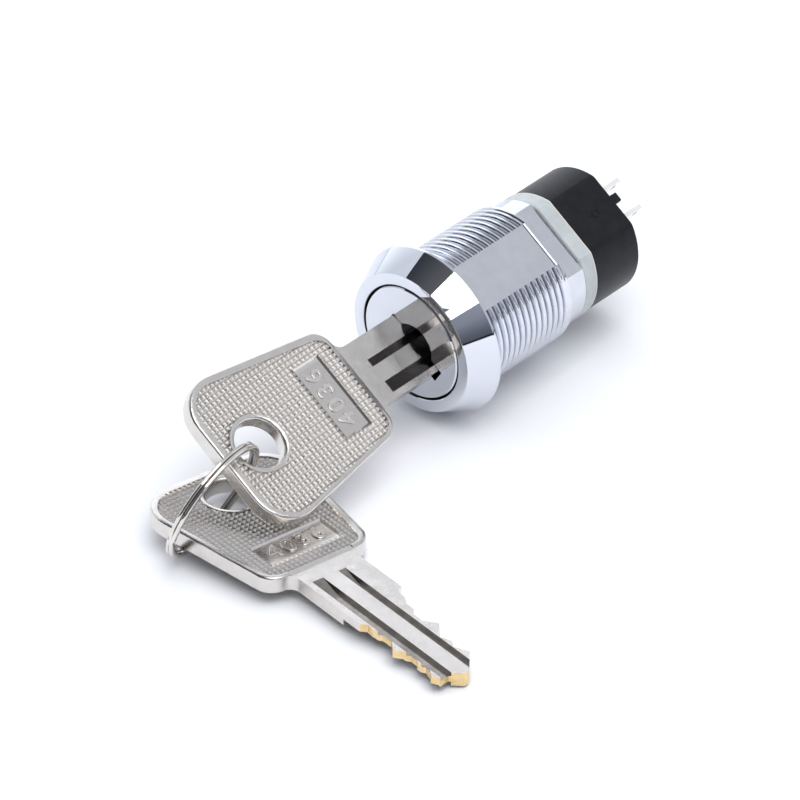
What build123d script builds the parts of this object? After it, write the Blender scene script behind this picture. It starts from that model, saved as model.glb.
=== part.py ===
"""Selector key switch for a 19 mm panel hole: a wafer lock that turns a small
rotary contact block, with its operating key in place and a spare on the ring.

Frame: +Y runs along the switch from the key to the terminals, +Z is up, and the
origin is on the axis at the back of the bezel, where it seats on the panel.
The switch lies on its bezel rim, so the table is at z = -bezel_radius.
"""
from build123d import *
from math import cos, radians, sin
import os

os.makedirs("parts", exist_ok=True)

# ---- driving dimensions, mm and degrees ----
fit_gap = 0.05            # running clearance of the turning pieces
slot_gap = 0.10           # sliding clearance of wafers and blade
end_gap = 0.10            # end float of the plug, pin and clip
flat_tilt = 36.0          # the barrel flats and the key face lean this far from +Z to +X

bezel_radius = 11.5       # widest edge of the bezel, just in front of the panel
bezel_face_radius = 9.6
bezel_front = -4.12
bezel_land = 0.4
thread_major = 9.5        # M19 x 1
thread_minor = 8.95
thread_pitch = 1.0
thread_first = 0.8
thread_last = 14.8
across_flats = 17.8
flats_end = 15.3
collar_radius = 8.82
collar_start = 15.15
collar_across = 14.2
barrel_end = 18.55

plug_head_radius = 7.77
plug_head_gap = 0.08      # the dark line round the plug's face
plug_edge = 0.15
plug_head_back = -1.5
plug_radius = 6.9
plug_end = 15.9
neck_radius = 4.2
neck_end = 19.0
clip_groove_radius = 3.4
clip_groove = (17.35, 17.95)
clip_radius = 5.2
clip_mouth = 4.6
clip_recess_radius, clip_recess_front = 5.5, 17.2
tang_size = 4.4
tang_end = 24.2

keyway_low, keyway_high = -3.25, 5.5      # across the blade, off-centre on purpose
keyway_half = 1.05
keyway_end = 14.7
mouth_low, mouth_high = -4.15, 5.15
mouth_recess_radius = 3.1
mouth_recess_depth = 1.4
mouth_step_depth = 1.0

wafer_count = 8
wafer_first = 0.6
wafer_pitch = 1.75
wafer_thickness = 0.9
wafer_radius = 6.8
wafer_half_width = 2.6
wafer_travel = 0.7
wafer_window_half = 1.15
groove_reach = 7.75
groove_end = 14.6
lug_size = 1.0
lug_root = 0.1
spring_pocket_back = 2.9
spring_wire = 0.16
spring_radius = 0.36
spring_turns = 4
spring_lift = 0.6         # spring axis above the wafer's edge

stop_radius = 5.4
stop_pin_radius = 0.75
stop_pin_angle = 225.0
stop_groove_depth = 1.0
stop_pin_seat = 1.4       # how deep the pin sits in the flange
stop_slack = 2.0
turn_angle = 90.0

adapter_radius = 8.7
adapter_across = 15.32
adapter_end = 20.77
adapter_bore_radius = 4.9
adapter_edge = 0.35
housing_radius = 8.58
housing_across = 15.3
housing_end = 28.82
housing_front_wall = 1.0
cavity_radius = 5.7
housing_bore_radius = 4.0
housing_corner, housing_edge = 1.5, 0.25
mouth_radius, mouth_across = 7.65, 13.4   # rear recess that takes the terminal base
tab_size = (1.3, 0.8)
tab_corner, tab_proud, tab_root = 0.2, 0.9, 1.5
tab_inset = 0.42
base_front = 26.45
base_radius, base_across, base_inset = 7.55, 13.2, 0.25
screw_offset = 6.6
screw_radius = 0.7
screw_head_radius = 0.95
screw_head_height, screw_head_inset = 0.8, 0.35
screw_head_pocket = 0.9
screw_tip_depth, screw_hole_depth = 1.6, 1.8
screw_cross = (1.2, 0.28, 0.4)   # length, width, depth

rotor_radius = 5.3
rotor_flat = 5.0
rotor_front, rotor_back = 22.1, 24.6
pocket_radius, pocket_depth = 0.7, 1.5   # spring pockets in the rotor
detent_from_back, detent_bend = 1.25, 0.45
detent_wire_radius = 0.2
detent_feet, detent_knees = (2.8, 6.75), (2.1, 0.26)
detent_pocket = (6.2, 1.9, 0.7)
detent_pocket_at, detent_pocket_back = 6.1, 0.9
contact_offset = 3.9
contact_front, contact_back = 25.4, 25.8
bridge_size, bridge_corner = (5.4, 1.5), 0.4
contact_wire_radius, contact_coil_radius = 0.1, 0.5
contact_seat = 0.12
terminal_offset = (2.15, 4.3)
terminal_thickness, terminal_width = 0.6, 1.9
terminal_tip = 33.7
terminal_head_front = 25.95
terminal_hole_radius = 0.45
terminal_hole_from_tip = 1.3
terminal_chamfer = 0.45
terminal_head_radius, terminal_head_shift = 0.75, 0.2

blade_offset = 0.5        # the key sits this far off the axis, across the blade
shoulder_y = -14.3        # shoulder of the inserted key
blade_half_thickness = 0.95
blade_half_width = 4.5
bow_half_thickness = 1.2
bow_length = 23.6
bow_half_width = (7.95, 11.45)            # at the shoulder and at the far end
bow_corner_radius, shoulder_corner_radius, throat_radius = 5.0, 2.6, 1.4
bow_hole_radius = 3.3
bow_hole_at = 17.8
field_recess = 0.15
border_width = 1.3
plate_recess = 0.35
plate_size = (3.9, 10.4)
plate_at = 5.0
bow_overlap = 2.0         # how far the blade's blank runs into the bow

ring_radius = 8.12        # centre line of the split ring
ring_strip = 0.9          # radial size of the wire
ring_width = 1.1          # two turns side by side
ring_turn_gap = 0.02
ring_wire_corner = 0.15
ring_web = (0.6, 0.1)     # joins the turns: share of the strip, width
ring_centre = (0.72, -40.46, -3.47)
ring_azimuth, ring_elevation = 9.1, -23.4  # direction of the ring's axis
spare_hole_centre = (-2.48, -34.35, -8.45)
spare_yaw, spare_pitch, spare_roll = 172.2, 2.3, 4.3

lateral = Vector(cos(radians(flat_tilt)), 0, -sin(radians(flat_tilt)))


def at(y):
    """Cross-section plane at y: x runs across the blade, y along the flats' normal."""
    return Plane(origin=(0, y, 0), x_dir=lateral, z_dir=(0, -1, 0))


def save(part, name):
    part.label = name
    export_step(part, f"parts/{name}.step")


def double_d(radius, across):
    """Circle with two flats, drawn in the open sketch."""
    Circle(radius)
    Rectangle(4 * radius, across, mode=Mode.INTERSECT)


# ---- barrel: bezel and threaded body in one zinc casting ----
thread_outline = []
for turn in range(int((thread_last - thread_first) / thread_pitch)):
    start = thread_first + turn * thread_pitch
    thread_outline += [
        (thread_major, start),
        (thread_minor, start + 0.35 * thread_pitch),
        (thread_minor, start + 0.45 * thread_pitch),
        (thread_major, start + 0.8 * thread_pitch),
    ]

with BuildPart() as barrel:
    with BuildSketch(Plane.XY):
        with BuildLine():
            Polyline(
                (plug_head_radius + plug_head_gap, bezel_front),
                (bezel_face_radius, bezel_front),
                (bezel_radius, -bezel_land),
                (bezel_radius, 0),
                (thread_major, 0),
                *thread_outline,
                (thread_major, collar_start),
                (collar_radius, collar_start),
                (collar_radius, barrel_end),
                (clip_recess_radius, barrel_end),
                (clip_recess_radius, clip_recess_front),
                (neck_radius + fit_gap, clip_recess_front),
                (neck_radius + fit_gap, plug_end + end_gap),
                (plug_radius + fit_gap, plug_end + end_gap),
                (plug_radius + fit_gap, plug_head_back + end_gap),
                (plug_head_radius + plug_head_gap, plug_head_back + end_gap),
                close=True,
            )
        make_face()
    revolve(axis=Axis.Y)
    with BuildSketch(at(flats_end)):
        Circle(bezel_radius)
        Rectangle(4 * bezel_radius, across_flats, mode=Mode.SUBTRACT)
    extrude(amount=flats_end, mode=Mode.SUBTRACT)
    with BuildSketch(at(barrel_end)):
        Circle(bezel_radius)
        Rectangle(4 * bezel_radius, collar_across, mode=Mode.SUBTRACT)
    extrude(amount=barrel_end - flats_end, mode=Mode.SUBTRACT)
    with BuildSketch(at(groove_end)):
        groove_width = 2 * wafer_half_width + 3 * slot_gap
        Rectangle(2 * groove_reach, groove_width)
        Rectangle(groove_width, 2 * groove_reach)
    extrude(amount=groove_end + slot_gap, mode=Mode.SUBTRACT)
    with BuildSketch(at(clip_recess_front)):
        with PolarLocations(stop_radius, 1, start_angle=stop_pin_angle):
            Circle(stop_pin_radius)
    extrude(amount=stop_pin_seat, mode=Mode.SUBTRACT)
    with BuildSketch(at(barrel_end)):
        with Locations((screw_offset, 0), (-screw_offset, 0)):
            Circle(screw_radius)
    extrude(amount=screw_hole_depth, mode=Mode.SUBTRACT)
save(barrel.part, "barrel")

with BuildPart() as stop_pin:
    with BuildSketch(at(clip_recess_front - end_gap)):
        with PolarLocations(stop_radius, 1, start_angle=stop_pin_angle):
            Circle(stop_pin_radius)
    extrude(amount=clip_recess_front - plug_end + stop_groove_depth - 2.5 * end_gap)
save(stop_pin.part, "stop_pin")


# ---- plug: the turning cylinder with keyway, wafer slots and drive tang ----
def wafer_y(index):
    return wafer_first + index * wafer_pitch


def slides_right(index):
    """Even wafers spring to +x of the cross-section plane, odd ones to -x."""
    return index % 2 == 0


with BuildPart() as plug:
    with BuildSketch(Plane.XY):
        with BuildLine():
            Polyline(
                (0, bezel_front),
                (plug_head_radius - plug_edge, bezel_front),
                (plug_head_radius, bezel_front + plug_edge),
                (plug_head_radius, plug_head_back),
                (plug_radius, plug_head_back),
                (plug_radius, plug_end),
                (neck_radius, plug_end),
                (neck_radius, clip_groove[0]),
                (clip_groove_radius, clip_groove[0]),
                (clip_groove_radius, clip_groove[1]),
                (neck_radius, clip_groove[1]),
                (neck_radius, neck_end),
                (0, neck_end),
                close=True,
            )
        make_face()
    revolve(axis=Axis.Y)
    with BuildSketch(at(tang_end)):
        Rectangle(tang_size, tang_size)
    extrude(amount=tang_end - neck_end)
    with BuildSketch(at(keyway_end)):
        with Locations(((keyway_low + keyway_high) / 2, 0)):
            Rectangle(keyway_high - keyway_low, 2 * keyway_half)
    extrude(amount=keyway_end - bezel_front, mode=Mode.SUBTRACT)
    with BuildSketch(at(bezel_front + mouth_step_depth)):
        with Locations(((mouth_low + mouth_high) / 2, 0)):
            Rectangle(mouth_high - mouth_low, 2 * keyway_half)
    extrude(amount=mouth_step_depth, mode=Mode.SUBTRACT)
    with BuildSketch(at(bezel_front + mouth_recess_depth)):
        with Locations((blade_offset, 0)):
            Circle(mouth_recess_radius)
    extrude(amount=mouth_recess_depth, mode=Mode.SUBTRACT)
    for index in range(wafer_count):
        side = 1 if slides_right(index) else -1
        slot = wafer_thickness + 2 * slot_gap
        pocket_length = spring_pocket_back + lug_size / 2 + wafer_travel + 2 * slot_gap
        with BuildSketch(at(wafer_y(index) + slot / 2)):
            Rectangle(2 * (plug_radius + 1), 2 * (wafer_half_width + slot_gap))
            with Locations((side * (pocket_length / 2 - spring_pocket_back), wafer_half_width)):
                Rectangle(pocket_length, 2 * (lug_size + slot_gap))
        extrude(amount=slot, mode=Mode.SUBTRACT)
    groove_half = stop_pin_radius + fit_gap
    groove_turn = turn_angle + 2 * stop_slack
    groove_first = stop_pin_angle - turn_angle - stop_slack
    with BuildSketch(at(plug_end)):
        Circle(stop_radius + groove_half)
        Circle(stop_radius - groove_half, mode=Mode.SUBTRACT)
        sector = [(0, 0)]
        for share, reach in ((0, 2), (0.5, 3), (1, 2)):
            direction = radians(groove_first + share * groove_turn)
            sector.append((reach * plug_radius * cos(direction), reach * plug_radius * sin(direction)))
        Polygon(*sector, align=None, mode=Mode.INTERSECT)
        with PolarLocations(
            stop_radius, 2, start_angle=groove_first, angular_range=groove_turn, endpoint=True
        ):
            Circle(groove_half)
    extrude(amount=stop_groove_depth, mode=Mode.SUBTRACT)
save(plug.part, "plug")

# ---- wafers: brass plates that follow the key and lock the plug ----
for index in range(wafer_count):
    side = 1 if slides_right(index) else -1
    window_low = keyway_low - (wafer_travel if side > 0 else 0)
    window_high = keyway_high + (wafer_travel if side < 0 else 0)
    with BuildPart() as wafer:
        with BuildSketch(at(wafer_y(index) + wafer_thickness / 2)):
            Circle(wafer_radius)
            Rectangle(4 * wafer_radius, 2 * wafer_half_width, mode=Mode.INTERSECT)
            with Locations((0, wafer_half_width + lug_size / 2 - lug_root)):
                Rectangle(lug_size, lug_size)
            with Locations(((window_low + window_high) / 2, 0)):
                Rectangle(window_high - window_low, 2 * wafer_window_half, mode=Mode.SUBTRACT)
        extrude(amount=wafer_thickness)
    save(wafer.part, f"wafer_{index + 1}")

spring_length = spring_pocket_back - lug_size / 2 - 2 * fit_gap - spring_wire
with BuildPart() as wafer_springs:
    for index in range(wafer_count):
        side = 1 if slides_right(index) else -1
        start_x = -side * (spring_pocket_back - fit_gap - spring_wire / 2)
        start = at(wafer_y(index)).from_local_coords(
            Vector(start_x, wafer_half_width + spring_lift, 0)
        )
        with BuildLine():
            coil = Helix(
                pitch=spring_length / spring_turns,
                height=spring_length,
                radius=spring_radius,
                center=tuple(start),
                direction=tuple(lateral * side),
            )
        with BuildSketch(Plane(origin=coil @ 0, z_dir=coil % 0)):
            Circle(spring_wire / 2)
        sweep(path=coil, is_frenet=True)
save(wafer_springs.part, "wafer_springs")

# ---- retaining clip behind the barrel's rear flange ----
with BuildPart() as retaining_clip:
    with BuildSketch(at(clip_groove[1] - fit_gap)):
        Circle(clip_radius)
        Circle(clip_groove_radius + fit_gap, mode=Mode.SUBTRACT)
        with Locations((clip_radius, 0)):
            Rectangle(2 * clip_radius, clip_mouth, mode=Mode.SUBTRACT)
    extrude(amount=clip_groove[1] - clip_groove[0] - 2 * fit_gap)
save(retaining_clip.part, "retaining_clip")

# ---- adapter ring: translucent spacer between barrel and contact housing ----
with BuildPart() as adapter_ring:
    with BuildSketch(at(adapter_end)):
        double_d(adapter_radius, adapter_across)
        Circle(adapter_bore_radius, mode=Mode.SUBTRACT)
        with Locations((screw_offset, 0), (-screw_offset, 0)):
            Circle(screw_radius + slot_gap, mode=Mode.SUBTRACT)
    extrude(amount=adapter_end - barrel_end)
    fillet(adapter_ring.faces().sort_by(Axis.Y)[0].outer_wire().edges(), adapter_edge)
save(adapter_ring.part, "adapter_ring")

# ---- contact housing: moulded shell with a flat on two sides ----
with BuildPart() as housing:
    with BuildSketch(at(housing_end)) as housing_outline:
        double_d(housing_radius, housing_across)
        fillet(housing_outline.vertices(), housing_corner)
    extrude(amount=housing_end - adapter_end)
    chamfer(housing.faces().sort_by(Axis.Y)[-1].outer_wire().edges(), housing_edge)
    with BuildSketch(at(base_front)):
        Circle(cavity_radius)
    extrude(amount=base_front - adapter_end - housing_front_wall, mode=Mode.SUBTRACT)
    with BuildSketch(at(housing_end)):
        Circle(housing_bore_radius)
        with Locations((screw_offset, 0), (-screw_offset, 0)):
            Circle(screw_radius + slot_gap)
    extrude(amount=housing_end - adapter_end, mode=Mode.SUBTRACT)
    with BuildSketch(at(housing_end)):
        double_d(mouth_radius, mouth_across)
    extrude(amount=housing_end - base_front, mode=Mode.SUBTRACT)
    with BuildSketch(at(housing_end + tab_proud)):
        with Locations((0, housing_across / 2 - tab_inset)):
            RectangleRounded(*tab_size, tab_corner)
    extrude(amount=tab_proud + tab_root)
    with BuildSketch(at(rotor_back - detent_pocket_back)):
        with Locations((0, detent_pocket_at)):
            Rectangle(*detent_pocket[:2])
    extrude(amount=detent_pocket[2], mode=Mode.SUBTRACT)
save(housing.part, "housing")

# ---- detent spring: wire that rests on the rotor's flats ----
with BuildPart() as detent_spring:
    foot_x, foot_y = detent_feet
    knee_x, knee_y = detent_knees[0], rotor_flat + detent_knees[1]
    with BuildLine(at(rotor_back - detent_from_back)):
        wire = FilletPolyline(
            (-foot_x, foot_y), (-knee_x, knee_y), (knee_x, knee_y), (foot_x, foot_y), radius=detent_bend
        )
    with BuildSketch(Plane(origin=wire @ 0, z_dir=wire % 0)):
        Circle(detent_wire_radius)
    sweep(path=wire)
save(detent_spring.part, "detent_spring")

# ---- terminal base with its four solder terminals ----
terminal_places = [
    (x * terminal_offset[0], y * terminal_offset[1]) for x in (-1, 1) for y in (1, -1)
]
with BuildPart() as terminal_base:
    with BuildSketch(at(housing_end - base_inset)):
        double_d(base_radius, base_across)
        with Locations(*terminal_places):
            Rectangle(terminal_thickness + fit_gap, terminal_width + fit_gap, mode=Mode.SUBTRACT)
        with Locations((screw_offset, 0), (-screw_offset, 0)):
            Circle(screw_radius + slot_gap, mode=Mode.SUBTRACT)
    extrude(amount=housing_end - base_inset - base_front)
    with BuildSketch(at(housing_end - base_inset)):
        with Locations((screw_offset, 0), (-screw_offset, 0)):
            Circle(screw_head_radius + slot_gap)
    extrude(amount=screw_head_pocket, mode=Mode.SUBTRACT)
save(terminal_base.part, "terminal_base")

for number, (x, y) in enumerate(terminal_places, start=1):
    with BuildPart() as terminal:
        with BuildSketch(at(terminal_tip)):
            with Locations((x, y)):
                Rectangle(terminal_thickness, terminal_width)
        extrude(amount=terminal_tip - base_front)
        tip_edges = terminal.faces().sort_by(Axis.Y)[-1].edges().sort_by(SortBy.LENGTH)[:2]
        chamfer(tip_edges, terminal_chamfer)
        with BuildSketch(at(base_front)):
            with Locations((x, y - (terminal_head_shift if y > 0 else -terminal_head_shift))):
                Circle(terminal_head_radius)
        extrude(amount=base_front - terminal_head_front)
        hole_centre = at(terminal_tip - terminal_hole_from_tip).from_local_coords(Vector(x, y, 0))
        with BuildSketch(Plane(origin=hole_centre, z_dir=lateral)):
            Circle(terminal_hole_radius)
        extrude(amount=terminal_width, both=True, mode=Mode.SUBTRACT)
    save(terminal.part, f"terminal_{number}")

with BuildPart() as housing_screws:
    head_top = housing_end - screw_head_inset
    with BuildSketch(at(head_top - screw_head_height)):
        with Locations((screw_offset, 0), (-screw_offset, 0)):
            Circle(screw_radius)
    extrude(amount=head_top - screw_head_height - (barrel_end - screw_tip_depth))
    with BuildSketch(at(head_top)):
        with Locations((screw_offset, 0), (-screw_offset, 0)):
            Circle(screw_head_radius)
    extrude(amount=screw_head_height)
    cross_length, cross_width, cross_depth = screw_cross
    with BuildSketch(at(head_top)):
        with Locations((screw_offset, 0), (-screw_offset, 0)):
            Rectangle(cross_length, cross_width)
            Rectangle(cross_width, cross_length)
    extrude(amount=cross_depth, mode=Mode.SUBTRACT)
save(housing_screws.part, "housing_screws")

# ---- rotor on the drive tang, with two sprung contact bridges ----
contact_places = [(0, contact_offset), (0, -contact_offset)]
with BuildPart() as rotor:
    with BuildSketch(at(rotor_back)):
        Circle(rotor_radius)
        Rectangle(2 * rotor_flat, 2 * rotor_flat, mode=Mode.INTERSECT)
        Rectangle(tang_size + 2 * fit_gap, tang_size + 2 * fit_gap, mode=Mode.SUBTRACT)
    extrude(amount=rotor_back - rotor_front)
    with BuildSketch(at(rotor_back)):
        with Locations(*contact_places):
            Circle(pocket_radius)
    extrude(amount=pocket_depth, mode=Mode.SUBTRACT)
save(rotor.part, "rotor")

for number, place in enumerate(contact_places, start=1):
    with BuildPart() as bridge:
        with BuildSketch(at(contact_back)):
            with Locations(place):
                RectangleRounded(*bridge_size, bridge_corner)
        extrude(amount=contact_back - contact_front)
    save(bridge.part, f"contact_bridge_{number}")

contact_spring_back = contact_front - fit_gap - contact_seat
contact_spring_front = rotor_back - pocket_depth + fit_gap + contact_seat
with BuildPart() as contact_springs:
    for place in contact_places:
        start = at(contact_spring_front).from_local_coords(Vector(*place, 0))
        with BuildLine():
            coil = Helix(
                pitch=(contact_spring_back - contact_spring_front) / spring_turns,
                height=contact_spring_back - contact_spring_front,
                radius=contact_coil_radius,
                center=tuple(start),
                direction=(0, 1, 0),
            )
        with BuildSketch(Plane(origin=coil @ 0, z_dir=coil % 0)):
            Circle(contact_wire_radius)
        sweep(path=coil, is_frenet=True)
save(contact_springs.part, "contact_springs")

# ---- keys: flat nickel-plated brass, cut on both edges ----
# (distance from the shoulder, half width) along each edge, from the bow to the tip
stop_step = 9.9
upper_cuts = [
    (10.5, 3.5), (11.9, 3.4), (12.9, 2.75), (14.4, 2.7), (15.3, 2.05), (16.9, 2.0),
    (18.5, 3.35), (20.8, 1.6), (22.4, 2.25), (23.3, 1.6), (25.3, 2.6),
]
lower_cuts = [
    (13.0, 4.5), (13.7, 3.8), (14.9, 3.95), (16.1, 3.25), (17.5, 3.25), (19.6, 4.7), (21.3, 3.25),
    (22.4, 3.25), (23.3, 3.9), (24.2, 3.3), (25.4, 3.65), (26.4, 4.35), (27.4, 3.7), (27.1, 2.2),
]
blade_length = 28.4
tip_low, tip_high = 0.1, 0.8             # the blunt tip's two corners, across the blade
groove_start, groove_depth, runout_length = 2.7, 0.55, 4.5
runout_bend = (0.45, 0.7)                 # the run-out's middle point, as shares of its length and depth
grooves = ((-0.95, 1.1), (2.8, 1.7))      # centre across the blade, width
ward_edge, ward_depth = 3.1, 0.8          # relief milled under the lower edge
hole_rim = 1.0


def edge_plane(plane, offset):
    """Plane square to the key at this place across it: x to the bow, y out of the face."""
    origin = plane.from_local_coords(Vector(0, offset, 0))
    return Plane(origin=origin, x_dir=plane.x_dir, z_dir=plane.y_dir * -1)


def bow_outline():
    """Bow shape in the open sketch: wider at the far end, all four corners rounded."""
    near, far = bow_half_width
    Polygon((0, near), (0, -near), (bow_length, -far), (bow_length, far), align=None)
    fillet(vertices().sort_by(Axis.X)[-2:], bow_corner_radius)
    fillet(vertices().sort_by(Axis.X)[:2], shoulder_corner_radius)


def make_key(plane):
    """Blade and bow of one key. The plane's origin is at the shoulder, z out of the face."""
    half = blade_half_width
    with BuildPart() as key:
        with BuildSketch(plane):
            with BuildLine():
                Polyline(
                    (-throat_radius, -half),
                    (-stop_step, -half),
                    *[(-x, -y) for x, y in upper_cuts],
                    (-blade_length, tip_low),
                    (-blade_length, tip_high),
                    *[(-x, y) for x, y in reversed(lower_cuts)],
                    (-throat_radius, half),
                )
                RadiusArc((-throat_radius, half), (0, half + throat_radius), throat_radius)
                Polyline(
                    (0, half + throat_radius),
                    (bow_overlap, half),
                    (bow_overlap, -half),
                    (0, -half - throat_radius),
                )
                RadiusArc((0, -half - throat_radius), (-throat_radius, -half), throat_radius)
            make_face()
        extrude(amount=blade_half_thickness, both=True)
        for centre, width in grooves:
            top, floor = blade_half_thickness, blade_half_thickness - groove_depth
            with BuildSketch(edge_plane(plane, centre + width / 2)):
                with BuildLine():
                    along, down = runout_bend
                    runout = ThreePointArc(
                        (-groove_start, top),
                        (-groove_start - along * runout_length, top - down * groove_depth),
                        (-groove_start - runout_length, floor),
                    )
                    Polyline(
                        runout @ 1,
                        (-blade_length - 1, floor),
                        (-blade_length - 1, top + 1),
                        (-groove_start, top + 1),
                        runout @ 0,
                    )
                make_face()
            extrude(amount=width, mode=Mode.SUBTRACT)
        with BuildSketch(plane.offset(-blade_half_thickness)):
            with Locations((-stop_step - blade_length / 2, ward_edge + half / 2)):
                Rectangle(blade_length, half)
        extrude(amount=ward_depth, mode=Mode.SUBTRACT)
        with BuildSketch(plane):
            bow_outline()
        extrude(amount=bow_half_thickness, both=True)
        for side in (1, -1):
            face = plane.offset(side * bow_half_thickness)
            with BuildSketch(face):
                bow_outline()
                offset(amount=-border_width)
                with Locations((bow_hole_at, 0)):
                    Circle(bow_hole_radius + hole_rim, mode=Mode.SUBTRACT)
            extrude(amount=-side * field_recess, mode=Mode.SUBTRACT)
            with BuildSketch(face):
                with Locations((plate_at, 0)):
                    Rectangle(*plate_size)
            extrude(amount=-side * plate_recess, mode=Mode.SUBTRACT)
        with BuildSketch(plane.offset(-bow_half_thickness)):
            with Locations((bow_hole_at, 0)):
                Circle(bow_hole_radius)
        extrude(amount=2 * bow_half_thickness, mode=Mode.SUBTRACT)
    return key.part


face_normal = Vector(sin(radians(flat_tilt)), 0, cos(radians(flat_tilt)))
key_plane = Plane(
    origin=Vector(0, shoulder_y, 0) + lateral * blade_offset, x_dir=(0, -1, 0), z_dir=face_normal
)
save(make_key(key_plane), "operating_key")

spare_along = Vector(1, 0, 0).rotate(Axis.Y, -spare_pitch).rotate(Axis.Z, spare_yaw)
spare_level = Vector(0, 0, 1).cross(spare_along).normalized()
spare_across = spare_level.rotate(Axis((0, 0, 0), spare_along), spare_roll)
spare_normal = spare_along.cross(spare_across)
spare_plane = Plane(
    origin=Vector(*spare_hole_centre) - spare_along * bow_hole_at, x_dir=spare_along, z_dir=spare_normal
)
save(make_key(spare_plane), "spare_key")

# ---- split ring: two turns of flat steel wire through both bows ----
ring_axis = Vector(1, 0, 0).rotate(Axis.Y, -ring_elevation).rotate(Axis.Z, ring_azimuth)
ring_plane = Plane(origin=ring_centre, z_dir=ring_axis)
with BuildPart() as key_ring:
    with BuildSketch(Plane(origin=ring_centre, x_dir=ring_plane.x_dir, z_dir=ring_plane.y_dir * -1)):
        with Locations((ring_radius, ring_width / 4), (ring_radius, -ring_width / 4)):
            RectangleRounded(ring_strip, ring_width / 2 - ring_turn_gap, ring_wire_corner)
        with Locations((ring_radius, 0)):
            Rectangle(ring_web[0] * ring_strip, ring_web[1])
    revolve(axis=Axis(ring_centre, ring_axis))
save(key_ring.part, "key_ring")
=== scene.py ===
"""Selector key switch with its key in the lock and a spare on the ring, in metres.

The switch lies on its bezel rim. +Y runs from the key to the terminals, and the
origin is on the axis where the back of the bezel meets the panel.
"""
from math import atan2, copysign, cos, hypot, pi, radians, sin, sqrt

import bmesh
import bpy
from mathutils import Matrix, Vector, geometry


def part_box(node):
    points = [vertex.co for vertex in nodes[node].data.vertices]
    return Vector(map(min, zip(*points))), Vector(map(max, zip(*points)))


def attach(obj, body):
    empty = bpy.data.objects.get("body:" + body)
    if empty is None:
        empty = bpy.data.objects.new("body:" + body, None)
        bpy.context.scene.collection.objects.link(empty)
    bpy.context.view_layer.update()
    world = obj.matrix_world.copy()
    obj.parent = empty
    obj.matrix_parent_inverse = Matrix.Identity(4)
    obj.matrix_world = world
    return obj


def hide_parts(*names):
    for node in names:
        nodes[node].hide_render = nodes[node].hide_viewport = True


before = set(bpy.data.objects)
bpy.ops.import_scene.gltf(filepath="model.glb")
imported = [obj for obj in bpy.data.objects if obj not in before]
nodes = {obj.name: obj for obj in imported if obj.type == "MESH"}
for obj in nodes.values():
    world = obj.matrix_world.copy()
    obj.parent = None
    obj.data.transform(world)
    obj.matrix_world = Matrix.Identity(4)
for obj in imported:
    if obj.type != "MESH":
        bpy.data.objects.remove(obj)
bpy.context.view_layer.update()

# ---- Camera ----
# A long lens a little over a metre away, above the right front of the lock,
# held with a small tilt to the left.
MM = 0.001
view_azimuth, view_elevation, view_tilt = radians(45.456), radians(34.794), radians(-3.763)
view_distance = 1114.64 * MM
look_at = Vector((7.482, -13.989, 0)) * MM

toward_camera = Vector(
    (
        sin(view_azimuth) * cos(view_elevation),
        -cos(view_azimuth) * cos(view_elevation),
        sin(view_elevation),
    )
)
level_right = Vector((cos(view_azimuth), sin(view_azimuth), 0))
level_up = toward_camera.cross(level_right)
camera_right = level_right * cos(view_tilt) + level_up * sin(view_tilt)
camera_up = level_up * cos(view_tilt) - level_right * sin(view_tilt)

camera_data = bpy.data.cameras.new("camera")
camera_data.lens = 407.84
camera_data.sensor_width = 36
camera_data.clip_start = 0.05
camera = bpy.data.objects.new("camera", camera_data)
bpy.context.scene.collection.objects.link(camera)
camera.matrix_world = Matrix.LocRotScale(
    look_at + toward_camera * view_distance,
    Matrix((camera_right, camera_up, toward_camera)).transposed(),
    None,
)
bpy.context.scene.camera = camera


# ---- Table ----
# A round sheet of white card, almost smooth, that runs well past the lights.
# The bezel rim and the spare key rest on it.
def add_node(tree, kind, inputs=(), **settings):
    """A shader node with its settings; an input is a plain value or the socket it is fed from."""
    node = tree.nodes.new(kind)
    for name, value in settings.items():
        setattr(node, name, value)
    for name, value in dict(inputs).items():
        if isinstance(value, bpy.types.NodeSocket):
            tree.links.new(value, node.inputs[name])
        else:
            node.inputs[name].default_value = value
    return node


def new_effect(name, numbers, results):
    """An empty shader group with number inputs and the named results."""
    group = bpy.data.node_groups.new(name, "ShaderNodeTree")
    for label, value in numbers.items():
        socket = group.interface.new_socket(label, in_out="INPUT", socket_type="NodeSocketFloat")
        socket.default_value = value
    for label, kind in results.items():
        group.interface.new_socket(label, in_out="OUTPUT", socket_type=kind)
    start = group.nodes.new("NodeGroupInput").outputs
    end = group.nodes.new("NodeGroupOutput").inputs
    return group, start, end


def add_effect(tree, group, **numbers):
    """A group node; its inputs are given by name with underscores for spaces."""
    node = tree.nodes.new("ShaderNodeGroup")
    node.node_tree = group
    for name, value in numbers.items():
        node.inputs[name.replace("_", " ")].default_value = value
    return node.outputs


# Surface grain: one fine noise for the skin and one broad noise for uneven colour.
surface_grain, start, end = new_effect(
    "surface_grain",
    {"Grains per metre": 3000, "Clouds per metre": 250},
    {"Grain": "NodeSocketFloat", "Clouds": "NodeSocketFloat"},
)
place = add_node(surface_grain, "ShaderNodeTexCoord").outputs["Object"]
fine = add_node(
    surface_grain,
    "ShaderNodeTexNoise",
    {"Vector": place, "Scale": start["Grains per metre"], "Detail": 3.0, "Roughness": 0.6},
)
broad = add_node(
    surface_grain,
    "ShaderNodeTexNoise",
    {"Vector": place, "Scale": start["Clouds per metre"], "Detail": 4.0, "Roughness": 0.55},
)
surface_grain.links.new(fine.outputs["Fac"], end["Grain"])
surface_grain.links.new(broad.outputs["Fac"], end["Clouds"])


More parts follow.
